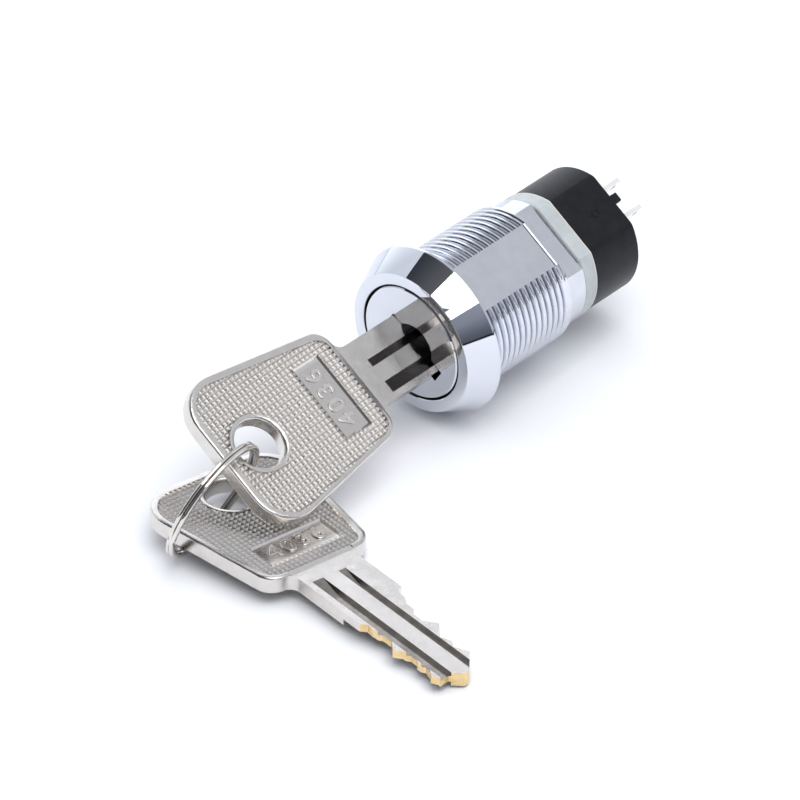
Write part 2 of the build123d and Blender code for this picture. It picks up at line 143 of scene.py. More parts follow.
def spread(tree, value, low, high):
    """The value, stretched from the middle of a noise to the range low to high."""
    node = add_node(
        tree,
        "ShaderNodeMapRange",
        {"Value": value, "From Min": 0.3, "From Max": 0.7, "To Min": low, "To Max": high},
    )
    return node.outputs["Result"]


def blend_colour(tree, amount, first, second):
    """The first colour where the amount is zero, the second where it is one."""
    node = add_node(tree, "ShaderNodeMix", data_type="RGBA")
    for socket, value in ((node.inputs[0], amount), (node.inputs[6], first), (node.inputs[7], second)):
        if isinstance(value, bpy.types.NodeSocket):
            tree.links.new(value, socket)
        else:
            socket.default_value = (*value, 1)
    return node.outputs[2]


def new_material(name):
    """A material with its tree and its Principled shader."""
    material = bpy.data.materials.new(name)
    material.use_nodes = True
    shader = material.node_tree.nodes["Principled BSDF"]
    return material, material.node_tree, shader


def feed(tree, shader, **sockets):
    """Feeds shader inputs from sockets; the names have underscores for spaces."""
    for name, value in sockets.items():
        tree.links.new(value, shader.inputs[name.replace("_", " ")])


table_height = -11.5 * MM
table_reach, table_sides = 1.6, 72
card, tree, shader = new_material("white_card")
grain = add_effect(tree, surface_grain, Grains_per_metre=1800, Clouds_per_metre=30)
feed(
    tree,
    shader,
    Base_Color=blend_colour(tree, grain["Clouds"], (0.86, 0.87, 0.90), (0.90, 0.905, 0.92)),
    Roughness=spread(tree, grain["Grain"], 0.75, 0.9),
)
table_mesh = bpy.data.meshes.new("table")
table_mesh.from_pydata(
    [
        (cos(turn) * table_reach, sin(turn) * table_reach, table_height)
        for turn in (radians(360 / table_sides * step) for step in range(table_sides))
    ],
    [],
    [range(table_sides)],
)
table_mesh.materials.append(card)
table = bpy.data.objects.new("table", table_mesh)
bpy.context.scene.collection.objects.link(table)

# ---- Studio light ----
# A room that is pale behind the lock and dark in front of it, with a tall white panel on
# the left and an L-shaped soft box overhead. Chrome shows each with a clean edge.
bpy.context.scene.view_settings.view_transform = "Standard"

world = bpy.data.worlds.new("room")
bpy.context.scene.world = world
world.use_nodes = True
tree = world.node_tree
direction = add_node(tree, "ShaderNodeTexCoord").outputs["Generated"]
ray = add_node(tree, "ShaderNodeSeparateXYZ", {"Vector": direction}).outputs


def fade(value, low, high):
    """Zero below low and one above high, with a soft passage between."""
    node = add_node(
        tree,
        "ShaderNodeMapRange",
        {"Value": value, "From Min": low, "From Max": high},
        interpolation_type="SMOOTHSTEP",
    )
    return node.outputs["Result"]


# The direction counts from -1 to 1: X to the right, Y away from the key, Z up.
right_wall = blend_colour(
    tree, fade(ray["Z"], 0.02, 0.6), (0.11, 0.12, 0.15), (0.34, 0.36, 0.42)
)
dark_front = blend_colour(
    tree, fade(ray["X"], -0.8, 0.2), (0.035, 0.04, 0.05), (0.14, 0.14, 0.15)
)
front = blend_colour(tree, fade(ray["X"], 0.35, 0.8), dark_front, right_wall)
rear = blend_colour(
    tree, fade(ray["Z"], 0.55, 0.7), (0.66, 0.68, 0.74), (0.69, 0.71, 0.75)
)
room = blend_colour(tree, fade(ray["Y"], -0.1, 0.35), front, rear)
walls = blend_colour(tree, fade(ray["Z"], 0.02, 0.045), (0.02, 0.022, 0.026), room)
shell = tree.nodes["Background"]
tree.links.new(walls, shell.inputs["Color"])
shell.inputs["Strength"].default_value = 1.0


def light_panel(name, centre, facing, width, height, brightness, colour):
    """A flat soft box that shines along facing; brightness is what a mirror sees of it."""
    data = bpy.data.lights.new(name, "AREA")
    data.shape = "RECTANGLE"
    data.size, data.size_y = width, height
    data.energy = brightness * pi * width * height
    data.color = colour
    panel = bpy.data.objects.new(name, data)
    bpy.context.scene.collection.objects.link(panel)
    panel.location = centre
    panel.rotation_euler = Vector(facing).to_track_quat("-Z", "Y").to_euler()
    return panel


cool_white, sky_white, warm_white = (0.91, 0.945, 1.0), (0.94, 0.96, 1.0), (1.0, 0.995, 0.98)
light_panel("left_panel", (-0.9, 0.30, 0.54), (1, 0, 0), 2.0, 1.14, 0.86, cool_white)
light_panel("overhead_box", (0.55, -0.14, 0.86), (0, 0, -1), 0.95, 0.79, 2.5, warm_white)
light_panel("overhead_wing", (0.83, -0.63, 0.86), (0, 0, -1), 0.38, 0.2, 2.5, warm_white)

# The ceiling's even light fills the shadows on the card and stays out of the reflections.
ceiling = light_panel("ceiling_bounce", (0.0, 0.0, 1.5), (0, 0, -1), 2.4, 2.4, 1.08, sky_white)
ceiling.visible_glossy = False


# ---- Barrel ----
# One zinc casting, chrome-plated: a conical bezel, a threaded body with a flat on
# two sides and a lower collar behind it. Two long screws hold the housing to it.

# Thin marks from handling and from being rubbed, drawn out in one direction.
handling_marks, start, end = new_effect(
    "handling_marks", {"Marks per metre": 900, "Turn": 0.4}, {"Mark": "NodeSocketFloat"}
)
place = add_node(handling_marks, "ShaderNodeTexCoord").outputs["Object"]
turned = add_node(
    handling_marks,
    "ShaderNodeVectorRotate",
    {"Vector": place, "Axis": (0.3, 0.5, 0.8), "Angle": start["Turn"]},
)
drawn_out = add_node(
    handling_marks,
    "ShaderNodeVectorMath",
    {0: turned.outputs["Vector"], 1: (1.0, 0.03, 0.4)},
    operation="MULTIPLY",
)
streaks = add_node(
    handling_marks,
    "ShaderNodeTexNoise",
    {"Vector": drawn_out.outputs["Vector"], "Scale": start["Marks per metre"], "Detail": 2.0},
)
thin = add_node(
    handling_marks,
    "ShaderNodeMapRange",
    {"Value": streaks.outputs["Fac"], "From Min": 0.64, "From Max": 0.70},
)
handling_marks.links.new(thin.outputs["Result"], end["Mark"])


def plated_metal(name, bright, dull, gloss, skin, skin_depth, mark_depth=0.06):
    """Metal that is cloudy between two tones, with a fine skin and thin rubbed marks.

    gloss is the roughness of its best and worst places, skin the size of the grain.
    """
    material, tree, shader = new_material(name)
    grain = add_effect(tree, surface_grain, Grains_per_metre=1 / skin, Clouds_per_metre=0.12 / skin)
    marks = add_effect(tree, handling_marks, Marks_per_metre=0.5 / skin, Turn=0.7)
    roughness = add_node(
        tree,
        "ShaderNodeMath",
        {0: marks["Mark"], 1: mark_depth, 2: spread(tree, grain["Clouds"], *gloss)},
        operation="MULTIPLY_ADD",
    )
    skin_bump = add_node(
        tree, "ShaderNodeBump", {"Height": grain["Grain"], "Distance": skin_depth, "Strength": 1.0}
    )
    shader.inputs["Metallic"].default_value = 1.0
    feed(
        tree,
        shader,
        Base_Color=blend_colour(tree, spread(tree, grain["Clouds"], 0, 1), bright, dull),
        Roughness=roughness.outputs["Value"],
        Normal=skin_bump.outputs["Normal"],
    )
    return material


bright_chrome = plated_metal(
    "bright_chrome", (0.72, 0.745, 0.80), (0.68, 0.705, 0.76), (0.02, 0.05), 0.5 * MM, 0.0004 * MM
)
cast_chrome = plated_metal(
    "cast_chrome", (0.70, 0.72, 0.77), (0.64, 0.66, 0.71), (0.10, 0.17), 0.25 * MM, 0.004 * MM
)

# Radii over which the painted shade in the thread roots fades out.
thread_root, thread_clear = 9.0 * MM, 9.3 * MM
thread_chrome = plated_metal(
    "thread_chrome", (0.75, 0.77, 0.83), (0.66, 0.68, 0.73), (0.08, 0.15), 0.25 * MM, 0.008 * MM
)
tree = thread_chrome.node_tree
shader = tree.nodes["Principled BSDF"]
# Painted shade darkens the roots of the thread, where the plating is also thin and grey.
around = add_node(
    tree,
    "ShaderNodeVectorMath",
    {0: add_node(tree, "ShaderNodeTexCoord").outputs["Object"], 1: (1, 0, 1)},
    operation="MULTIPLY",
)
radius = add_node(tree, "ShaderNodeVectorMath", {0: around.outputs["Vector"]}, operation="LENGTH")
out_of_root_shade = add_node(
    tree,
    "ShaderNodeMapRange",
    {"Value": radius.outputs["Value"], "From Min": thread_root, "From Max": thread_clear},
).outputs["Result"]
bright = shader.inputs["Base Color"].links[0].from_socket
feed(tree, shader, Base_Color=blend_colour(tree, out_of_root_shade, (0.30, 0.33, 0.38), bright))
# Dull dark zinc: the bores' own unplated finish, and painted shade in the thin groove before the bead.
bare_zinc = plated_metal(
    "bare_zinc", (0.20, 0.20, 0.21), (0.12, 0.12, 0.13), (0.30, 0.45), 0.15 * MM, 0.003 * MM
)

# Sizes in millimetres; places along the barrel count from the panel.
flat_tilt = radians(36)
bezel_radius, bezel_face_radius, bezel_front, bezel_land = 11.5, 9.6, -4.12, 0.4
bezel_edge = 0.07
thread_crest, thread_depth, thread_pitch = 9.5, 0.72, 1.0
thread_start, thread_run_in, thread_end, thread_run_out = 0.35, 0.6, 14.75, 0.4
root_share, crest_share = -0.15, 0.75
flat_from_axis, flat_end = 8.9, 15.3
collar_radius, collar_flat, collar_start, barrel_end = 8.82, 7.1, 15.15, 18.55
bead_start, bead_middle, bead_groove, bead_depth = 14.4, 14.78, 0.25, 0.1
bore_radius, head_bore_radius, head_bore_end, bore_end = 6.95, 8.03, -1.4, 16.0
neck_bore_radius, clip_recess_radius, clip_recess_start = 4.25, 5.5, 17.2
wafer_slot_reach, wafer_slot_half, wafer_slot_start, wafer_slot_end = 7.75, 2.75, -0.1, 14.6


def across(w, n, y):
    """A place in metres from millimetres across the key, out from the flats and along the barrel."""
    return MM * Vector(
        (w * cos(flat_tilt) + n * sin(flat_tilt), y, n * cos(flat_tilt) - w * sin(flat_tilt))
    )


def smooth_step(value, low, high):
    """Zero below low and one above high, level at both ends."""
    share = min(1, max(0, (value - low) / (high - low)))
    return share * share * (3 - 2 * share)


def sharpen(bm, limit):
    """Smooth shading with a crisp edge wherever two faces meet at more than the limit."""
    for face in bm.faces:
        face.smooth = True
    for edge in bm.edges:
        edge.smooth = len(edge.link_faces) == 2 and edge.calc_face_angle(0) < limit


def finish_piece(bm, name, *materials):
    """Cleans the mesh and makes it an object of the scene."""
    same_place, crisp_edge = 0.0005 * MM, radians(32)
    bmesh.ops.remove_doubles(bm, verts=bm.verts, dist=same_place)
    bmesh.ops.dissolve_degenerate(bm, edges=bm.edges, dist=same_place)
    bmesh.ops.recalc_face_normals(bm, faces=bm.faces)
    sharpen(bm, crisp_edge)
    mesh = bpy.data.meshes.new(name)
    bm.to_mesh(mesh)
    bm.free()
    for material in materials:
        mesh.materials.append(material)
    piece = bpy.data.objects.new(name, mesh)
    bpy.context.scene.collection.objects.link(piece)
    return piece


def loft(bm, loops, closed=False, capped=False):
    """Skin over loops of points of equal count; returns the faces, loop by loop."""
    rows = [[bm.verts.new(point) for point in loop] for loop in loops]
    pairs = list(zip(rows, rows[1:] + rows[:1] if closed else rows[1:]))
    skins = []
    for row, following in pairs:
        skins.append(
            [
                bm.faces.new((row[i - 1], row[i], following[i], following[i - 1]))
                for i in range(len(row))
            ]
        )
    if capped:
        bm.faces.new(reversed(rows[0]))
        bm.faces.new(rows[-1])
    return skins


flat_half = sqrt(thread_crest**2 - flat_from_axis**2)
flat_edge_turn = atan2(flat_from_axis, flat_half)
flat_steps, thread_steps = 10, 140
# Each column of the skin is its turn round the axis and whether it runs over a flat.
columns = []
for side in (0, pi):
    for step in range(flat_steps + 1):
        columns.append((side + atan2(flat_from_axis, flat_half * (1 - 2 * step / flat_steps)), True))
    for step in range(thread_steps + 1):
        share = step / thread_steps
        columns.append((side + pi - flat_edge_turn + 2 * flat_edge_turn * share, False))


def round_row(radius, y):
    """One plain round row, for the bezel and the bores."""
    return [across(radius * cos(turn), radius * sin(turn), y) for turn, _ in columns]


def bead_drop(y):
    """How far the flat's rear end lies under the flat: a thin groove and a round bead."""
    if y < bead_start - bead_groove:
        return 0
    return bead_depth * (1 - sqrt(max(0, 1 - ((y - bead_middle) / (bead_middle - bead_start)) ** 2)))


def thread_row(y):
    """One row over the threaded body: the helix between the flats, plain on the flats."""
    row = []
    begun = smooth_step(y, thread_start, thread_start + thread_run_in)
    ended = smooth_step(y, thread_end - thread_run_out, thread_end)
    cut = begun * (1 - ended)
    for turn, on_flat in columns:
        if on_flat:
            radius = (flat_from_axis - bead_drop(y)) / abs(sin(turn))
        else:
            phase = (y / thread_pitch + turn / (2 * pi)) % 1
            crest = smooth_step(1 - abs(2 * phase - 1), root_share, crest_share)
            radius = thread_crest - thread_depth * (1 - crest) * cut
        row.append(across(radius * cos(turn), radius * sin(turn), y))
    return row


def collar_row(y, step_up=False):
    """One row over the collar; step_up is the end of the threaded body above it."""
    row = []
    for turn, on_flat in columns:
        radius = min(collar_radius, collar_flat / abs(sin(turn)) if sin(turn) else collar_radius)
        if step_up:
            radius = (flat_from_axis - bead_depth) / abs(sin(turn)) if on_flat else thread_crest
            y = flat_end if on_flat else collar_start
        row.append(across(radius * cos(turn), radius * sin(turn), y))
    return row


def collar_foot_row():
    """Where the collar meets the end of the threaded body and of the flats."""
    row = []
    for turn, on_flat in columns:
        radius = min(collar_radius, collar_flat / abs(sin(turn)) if sin(turn) else collar_radius)
        row.append(
            across(radius * cos(turn), radius * sin(turn), flat_end if on_flat else collar_start)
        )
    return row


def slotted_row(y):
    """One row of the bore where four grooves let the wafers stand out of the plug."""
    row = []
    for turn, _ in columns:
        c, s = max(abs(cos(turn)), 1e-6), max(abs(sin(turn)), 1e-6)
        level_arm = min(wafer_slot_reach / c, wafer_slot_half / s)
        upright_arm = min(wafer_slot_reach / s, wafer_slot_half / c)
        radius = max(bore_radius, level_arm, upright_arm)
        row.append(across(radius * cos(turn), radius * sin(turn), y))
    return row


first_row, rows_per_pitch = 0.06, 14
row_count = int(rows_per_pitch * (collar_start - first_row) / thread_pitch)
thread_places = [first_row + thread_pitch * step / rows_per_pitch for step in range(row_count)]
front_rows = [
    round_row(head_bore_radius, head_bore_end),
    round_row(head_bore_radius, bezel_front + bezel_edge),
    round_row(head_bore_radius + bezel_edge, bezel_front),
    round_row(bezel_face_radius - bezel_edge, bezel_front),
    round_row(bezel_face_radius + 0.2 * bezel_edge, bezel_front + 0.3 * bezel_edge),
    round_row(bezel_face_radius + bezel_edge, bezel_front + 1.3 * bezel_edge),
    round_row(bezel_radius - bezel_edge, -bezel_land - bezel_edge),
    round_row(bezel_radius, -bezel_land + bezel_edge),
    round_row(bezel_radius, -bezel_edge),
    round_row(bezel_radius - bezel_edge, 0),
    round_row(thread_crest + 0.1, 0),
]
body_rows = [thread_row(y) for y in thread_places]
rear_rows = [
    collar_row(collar_start, step_up=True),
    collar_foot_row(),
    collar_row(barrel_end - bezel_edge),
    round_row(clip_recess_radius, barrel_end),
    round_row(clip_recess_radius, clip_recess_start),
    round_row(neck_bore_radius, clip_recess_start),
    round_row(neck_bore_radius, bore_end),
    round_row(bore_radius, bore_end),
    round_row(bore_radius, wafer_slot_end),
    slotted_row(wafer_slot_end),
    slotted_row(wafer_slot_start),
    round_row(bore_radius, wafer_slot_start),
    round_row(bore_radius, head_bore_end),
]
bm = bmesh.new()
skins = loft(bm, front_rows + body_rows + rear_rows, closed=True)
barrel_finishes = [bright_chrome, cast_chrome, thread_chrome, bare_zinc]
cast, threaded, unplated_and_groove_shade = 1, 2, 3
# The last skins run from the clip's recess forward through the bore.
bore_skins = 10
for index, skin in enumerate(skins):
    in_bore = index == 0 or index >= len(skins) - bore_skins
    body_index = index - len(front_rows)
    for face, (_, on_flat) in zip(skin, columns):
        if in_bore:
            face.material_index = unplated_and_groove_shade
        elif 0 <= body_index < len(body_rows):
            # The thin groove before the bead takes the dark zinc as painted shade.
            in_groove = bead_start - bead_groove < thread_places[body_index] < bead_start
            face.material_index = (unplated_and_groove_shade if in_groove else cast) if on_flat else threaded
        elif body_index >= 0:
            face.material_index = cast
barrel = finish_piece(bm, "threaded_barrel", *barrel_finishes)
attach(barrel, "switch_body")
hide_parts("barrel")


def give(node, *materials):
    """Puts these materials in a CAD node's slots."""
    slots = nodes[node].data.materials
    slots.clear()
    for material in materials:
        slots.append(material)


drawn_steel = plated_metal(
    "drawn_steel", (0.66, 0.66, 0.67), (0.56, 0.56, 0.57), (0.22, 0.34), 0.12 * MM, 0.002 * MM
)
give("stop_pin", drawn_steel)

# ---- Plug ----
# The turning cylinder, a zinc casting whose face alone is polished and chromed. The
# keyway opens in a round recess, and a tang behind it drives the contact block.
plug_chrome = plated_metal(
    "plug_chrome", (0.72, 0.74, 0.79), (0.68, 0.70, 0.75), (0.015, 0.04), 0.5 * MM, 0.0004 * MM
)
plug_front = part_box("plug")[0].y
chrome_whole, chrome_gone = plug_front + 0.04 * MM, plug_front + 0.3 * MM


def place_along(tree):
    """The place along the barrel, in metres."""
    place = add_node(tree, "ShaderNodeTexCoord").outputs["Object"]
    return add_node(tree, "ShaderNodeSeparateXYZ", {"Vector": place}).outputs["Y"]


def fade_in(tree, value, low, high):
    """Zero below low, one above high, straight between."""
    node = add_node(
        tree, "ShaderNodeMapRange", {"Value": value, "From Min": low, "From Max": high}
    )
    return node.outputs["Result"]


tree = plug_chrome.node_tree
shader = tree.nodes["Principled BSDF"]
bare = fade_in(tree, place_along(tree), chrome_whole, chrome_gone)
chromed = shader.inputs["Base Color"].links[0].from_socket
feed(tree, shader, Base_Color=blend_colour(tree, bare, chromed, (0.15, 0.15, 0.155)))
give("plug", plug_chrome)

# ---- Wafers and their springs ----
# Eight stamped brass plates in slots of the plug, each pushed to its side by a small
# coil spring of steel wire.
stamped_brass = plated_metal(
    "stamped_brass", (0.80, 0.60, 0.27), (0.68, 0.48, 0.20), (0.20, 0.35), 0.15 * MM, 0.003 * MM
)
spring_wire = plated_metal(
    "spring_wire", (0.58, 0.58, 0.60), (0.45, 0.45, 0.47), (0.18, 0.30), 0.08 * MM, 0.001 * MM
)
for number in range(1, 9):
    give(f"wafer_{number}", stamped_brass)
give("wafer_springs", spring_wire)

# ---- Retaining clip ----
# A stamped spring-steel clip, pushed into the groove of the plug's neck.
give("retaining_clip", spring_wire)

# ---- Adapter ring ----
# Milky nylon moulding between the barrel and the contact housing; light soaks into
# it a little, and a thin band where it meets the housing is coloured lighter and yellower.
def moulded_plastic(name, tone, dusty, gloss, skin, skin_depth):
    """Plastic from a spark-eroded mould: an even tone, a fine skin and a little dust."""
    material, tree, shader = new_material(name)
    grain = add_effect(tree, surface_grain, Grains_per_metre=1 / skin, Clouds_per_metre=0.1 / skin)
    skin_bump = add_node(
        tree, "ShaderNodeBump", {"Height": grain["Grain"], "Distance": skin_depth, "Strength": 1.0}
    )
    colour = blend_colour(tree, spread(tree, grain["Clouds"], 0, 1), tone, dusty)
    feed(
        tree,
        shader,
        Base_Color=colour,
        Roughness=spread(tree, grain["Grain"], *gloss),
        Normal=skin_bump.outputs["Normal"],
    )
    return material, tree, shader, colour


adapter_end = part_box("adapter_ring")[1].y
joint_line = 0.16 * MM
milky_nylon, tree, shader, colour = moulded_plastic(
    "milky_nylon", (0.42, 0.455, 0.465), (0.50, 0.535, 0.54), (0.26, 0.38), 0.2 * MM, 0.002 * MM
)
# A thin band along the edge that meets the housing is coloured lighter and yellower.
lighter_joint_band = fade_in(
    tree, place_along(tree), adapter_end - joint_line, adapter_end - 0.5 * joint_line
)
feed(tree, shader, Base_Color=blend_colour(tree, lighter_joint_band, colour, (0.80, 0.74, 0.58)))
shader.inputs["Subsurface Weight"].default_value = 0.35
shader.inputs["Subsurface Radius"].default_value = (1.2 * MM, 1.4 * MM, 1.4 * MM)
shader.inputs["Subsurface Scale"].default_value = 1.0
shader.inputs["Specular IOR Level"].default_value = 0.5
give("adapter_ring", milky_nylon)

# ---- Rotor, contacts and detent ----
# A natural acetal block on the plug's tang carries two copper bridges on springs. The
# bent detent wire in the housing rests on its flats.
natural_acetal, *_ = moulded_plastic(
    "natural_acetal", (0.76, 0.74, 0.68), (0.68, 0.66, 0.60), (0.35, 0.5), 0.15 * MM, 0.002 * MM
)
contact_copper = plated_metal(
    "contact_copper", (0.86, 0.52, 0.38), (0.70, 0.38, 0.26), (0.18, 0.32), 0.15 * MM, 0.002 * MM
)
give("rotor", natural_acetal)
for number in (1, 2):
    give(f"contact_bridge_{number}", contact_copper)
give("contact_springs", spring_wire)
give("detent_spring", spring_wire)

# ---- Contact housing ----
# Black glass-filled moulding with a matt skin. One flat shows the mould's parting line,
# which ends at the small ring left by the gate.
black_moulding, _, shader, _ = moulded_plastic(
    "black_moulding", (0.004, 0.005, 0.007), (0.009, 0.010, 0.013), (0.30, 0.42), 0.16 * MM, 0.004 * MM
)
shader.inputs["Specular IOR Level"].default_value = 0.22
give("housing", black_moulding)

# The marks are sunk a little in the flat, so that no gap shows under them.
housing_flat, sunk = 7.65, 0.01
parting_start, parting_height, parting_half_width = 20.85, 0.06, 0.06
gate_place, gate_across, gate_radius, gate_wire = 25.2, 0.3, 0.5, 0.1
gate_steps, gate_wire_steps = 24, 5
bm = bmesh.new()
loops = []
for step in range(gate_steps + 1):
    turn = 2 * pi * step / gate_steps
    loop = []
    for corner in range(gate_wire_steps + 1):
        roll = pi * corner / gate_wire_steps
        reach = gate_radius + gate_wire * cos(roll)
        loop.append(
            across(
                gate_across + reach * cos(turn),
                housing_flat - sunk + gate_wire * sin(roll),
                gate_place + reach * sin(turn),
            )
        )
    loops.append(loop)
loft(bm, loops)
line_end = gate_place - gate_radius
loft(
    bm,
    [
        [
            across(gate_across - parting_half_width, housing_flat - sunk, y),
            across(gate_across, housing_flat + parting_height, y),
            across(gate_across + parting_half_width, housing_flat - sunk, y),
        ]
        for y in (parting_start, line_end)
    ],
    capped=True,
)
moulding_marks = finish_piece(bm, "housing_moulding_marks", black_moulding)
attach(moulding_marks, "switch_body")

# ---- Terminal base, terminals and screws ----
# A black plate closes the housing. Four silver-plated tags stand in its slots, and two
# zinc-plated steel screws hold the stack to the barrel.
silver_plate = plated_metal(
    "silver_plate", (0.95, 0.945, 0.93), (0.84, 0.82, 0.79), (0.10, 0.20), 0.15 * MM, 0.002 * MM
)
# The plating is matt and whitish, so it mirrors only in part.
mirror_share = 0.55
silver_plate.node_tree.nodes["Principled BSDF"].inputs["Metallic"].default_value = mirror_share
zinc_plate = plated_metal(
    "zinc_plate", (0.68, 0.69, 0.71), (0.58, 0.59, 0.60), (0.22, 0.36), 0.12 * MM, 0.002 * MM
)
give("terminal_base", black_moulding)
for number in range(1, 5):
    give(f"terminal_{number}", silver_plate)
give("housing_screws", zinc_plate)

# ---- Keys ----
# Flat brass keys, stamped and nickel-plated; the cuts toward the tip show bare brass.
# Both faces of the bow are knurled inside a raised border, round a sunken number plate.
nickel_plate = plated_metal(
    "nickel_plate", (0.73, 0.70, 0.665), (0.66, 0.63, 0.60), (0.08, 0.15), 0.18 * MM, 0.026 * MM, 0.1
)
stamped_nickel = plated_metal(
    "stamped_nickel", (0.76, 0.73, 0.70), (0.68, 0.65, 0.62), (0.14, 0.22), 0.12 * MM, 0.006 * MM, 0.1
)
tree = stamped_nickel.node_tree
shader = tree.nodes["Principled BSDF"]
# The knurl's hollows and the sunken plate are painted darker: partly tarnish, partly painted shade.
hollow = add_node(tree, "ShaderNodeAttribute", attribute_name="hollow").outputs["Fac"]
tarnish_and_shade = fade_in(tree, hollow, 0.3, 1.0)
plain_nickel = shader.inputs["Base Color"].links[0].from_socket
feed(tree, shader, Base_Color=blend_colour(tree, tarnish_and_shade, plain_nickel, (0.58, 0.555, 0.53)))
# The grooves' floors are painted dark grey: painted shade in the grooves.
milled_groove = plated_metal(
    "milled_groove", (0.36, 0.33, 0.30), (0.24, 0.22, 0.20), (0.10, 0.20), 0.15 * MM, 0.004 * MM
)
cut_brass = plated_metal(
    "cut_brass", (0.86, 0.66, 0.36), (0.72, 0.52, 0.26), (0.22, 0.34), 0.12 * MM, 0.003 * MM
)

# Sizes in millimetres; x runs from the shoulder to the bow's end, y across the key.
blade_half, blade_half_width, blade_length = 0.95, 4.5, 28.4
throat = 1.4
# Along both edges: how far from the shoulder, and how far from the middle of the blade.
upper_cuts = [
    (9.9, 4.5), (10.5, 3.5), (11.9, 3.4), (12.9, 2.75), (14.4, 2.7), (15.3, 2.05), (16.9, 2.0),
    (18.5, 3.35), (20.8, 1.6), (22.4, 2.25), (23.3, 1.6), (25.3, 2.6),
]
lower_cuts = [
    (13.0, 4.5), (13.7, 3.8), (14.9, 3.95), (16.1, 3.25), (17.5, 3.25), (19.6, 4.7), (21.3, 3.25),
    (22.4, 3.25), (23.3, 3.9), (24.2, 3.3), (25.4, 3.65), (26.4, 4.35), (27.4, 3.7), (27.1, 2.2),
]
tip = (0.1, 0.8)
# Each groove's middle and half width.
grooves = ((-0.95, 0.55), (2.8, 0.85))
groove_start, groove_depth, groove_runout, runout_steps = 2.7, 0.55, 4.5, 12
relief_start, relief_edge, relief_level = 9.9, 3.1, 0.15

bow_half, bow_length, near_half, far_half = 1.2, 23.6, 7.95, 11.45
bow_corner, shoulder_corner, bow_edge = 5.0, 2.6, 0.35
edge_shares = (0.1, 0.3, 0.6, 1)
slope_start, slope_end, slope_half, slope_top = -0.35, 0.55, 4.9, 1.1
field_level, knurl_pitch, knurl_height, knurl_columns = 0.90, 0.72, 0.24, 14
hole_at, hole_radius, hole_rim, hole_edge, hole_steps = 17.8, 3.3, 0.7, 0.5, 48
plate_at, plate_half_length, plate_half_width = 5.0, 1.95, 5.2
plate_level, plate_lip_level, plate_lip = 0.86, 1.12, 0.28
key_number, digit_size, digit_gap, digit_relief = "4036", 3.3, 1.35, 0.13
# How dark the sunken plate is painted, as tarnish and painted shade.
sunken_plate_shade_and_tarnish = 0.65


def rounded_loop(corners, inset=0, steps=9):
    """Convex outline, drawn in by inset; each of its corners is (x, y, radius)."""
    loop = []
    for index, (x, y, radius) in enumerate(corners):
        corner = Vector((x, y))
        before = (corner - Vector(corners[index - 1][:2])).normalized()
        after = (Vector(corners[(index + 1) % len(corners)][:2]) - corner).normalized()
        turn = before.angle(after)
        centre = corner + (after - before).normalized() * radius / cos(turn / 2)
        first = atan2(-before.x, before.y)
        for step in range(steps + 1):
            angle = first + turn * step / steps
            loop.append(centre + Vector((cos(angle), sin(angle))) * (radius - inset))
    return loop


def depth_inside(loop, x, y):
    """How far a place lies inside a convex outline; negative outside it."""
    depth = 1000
    for before, after in zip(loop[-1:] + loop[:-1], loop):
        along = after - before
        if along.length > 1e-6:
            depth = min(depth, (along.x * (y - before.y) - along.y * (x - before.x)) / along.length)
    return depth


def rounded_edge(depth, radius):
    """How much lower a face is at this depth inside a rounded edge."""
    short = 1 - min(1, max(0, depth / radius))
    return radius * (1 - sqrt(1 - short * short))


bow_corners = [
    (0, -near_half, shoulder_corner),
    (bow_length, -far_half, bow_corner),
    (bow_length, far_half, bow_corner),
    (0, near_half, shoulder_corner),
]
bow_loop = rounded_loop(bow_corners)
field_loop = rounded_loop(
    [
        (slope_end, 1.05 - near_half, 2.0),
        (bow_length - 1.0, 1.15 - far_half, 3.8),
        (bow_length - 1.0, far_half - 0.8, 4.2),
        (slope_end, near_half - 0.65, 2.2),
    ]
)
throat_turns = [radians(15 * step) for step in range(7)]
upper_throat = [
    (-throat + throat * sin(turn), -blade_half_width - throat + throat * cos(turn))
    for turn in throat_turns
]
clear_of_shoulder = 0.02
key_outline = [
    *upper_throat,
    *[(x, y) for x, y in bow_loop if x > clear_of_shoulder],
    *[(x, -y) for x, y in reversed(upper_throat)],
    *[(-x, y) for x, y in lower_cuts],
    *[(-blade_length, y) for y in reversed(tip)],
    *[(-x, -y) for x, y in reversed(upper_cuts)],
]


def key_zone(x, y, under):
    """Name of the surface at this place on the key; none in the hole."""
    if x < 0 and not (x > slope_start and abs(y) < slope_half):
        for index, (centre, half) in enumerate(grooves):
            if x < -groove_start and abs(y - centre) < half:
                return f"groove_{index}"
        return "relief" if under and x < -relief_start and y > relief_edge else "blade"
    if x < slope_end and abs(y) < slope_half:
        return "slope"
    from_hole = hypot(x - hole_at, y)
    if from_hole < hole_radius:
        return None
    if from_hole < hole_radius + hole_rim or depth_inside(field_loop, x, y) < 0:
        return "rim"
    beyond_plate = max(abs(x - plate_at) - plate_half_length, abs(y) - plate_half_width)
    if beyond_plate < 0:
        return "plate"
    return "lip" if beyond_plate < plate_lip else "field"


